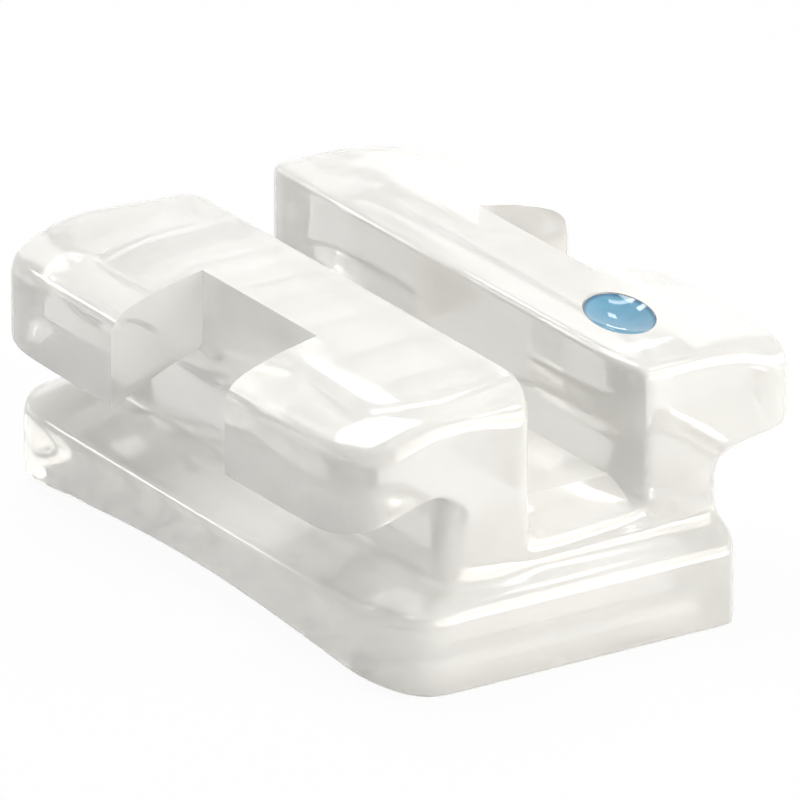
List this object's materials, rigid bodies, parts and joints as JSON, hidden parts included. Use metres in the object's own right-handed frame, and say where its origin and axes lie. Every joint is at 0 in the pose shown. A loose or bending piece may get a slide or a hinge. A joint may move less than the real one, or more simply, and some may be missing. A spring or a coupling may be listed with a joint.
{
  "type": "orthodontic bracket",
  "caption": "Translucent ceramic twin-wing orthodontic bracket: a straight archwire slot between hooked tie wings on an arched bonding base, with a glossy blue identification dot.",
  "frame": {"origin": "centre of the bounding box at the height of the two ends of the bonding base", "axes": "+X along the archwire slot towards the end that carries the dot, +Y across the slot towards the wings with the dot, +Z away from the tooth"},
  "size_m": [0.0042, 0.003, 0.0016],
  "materials": {
    "polished_ceramic": "translucent white ceramic, polished to a high gloss",
    "blue_enamel": "glossy blue marking colour"
  },
  "bodies": {
    "root": {"bracket_body": "polished_ceramic", "identification_dot": "blue_enamel"}
  },
  "joints": []
}
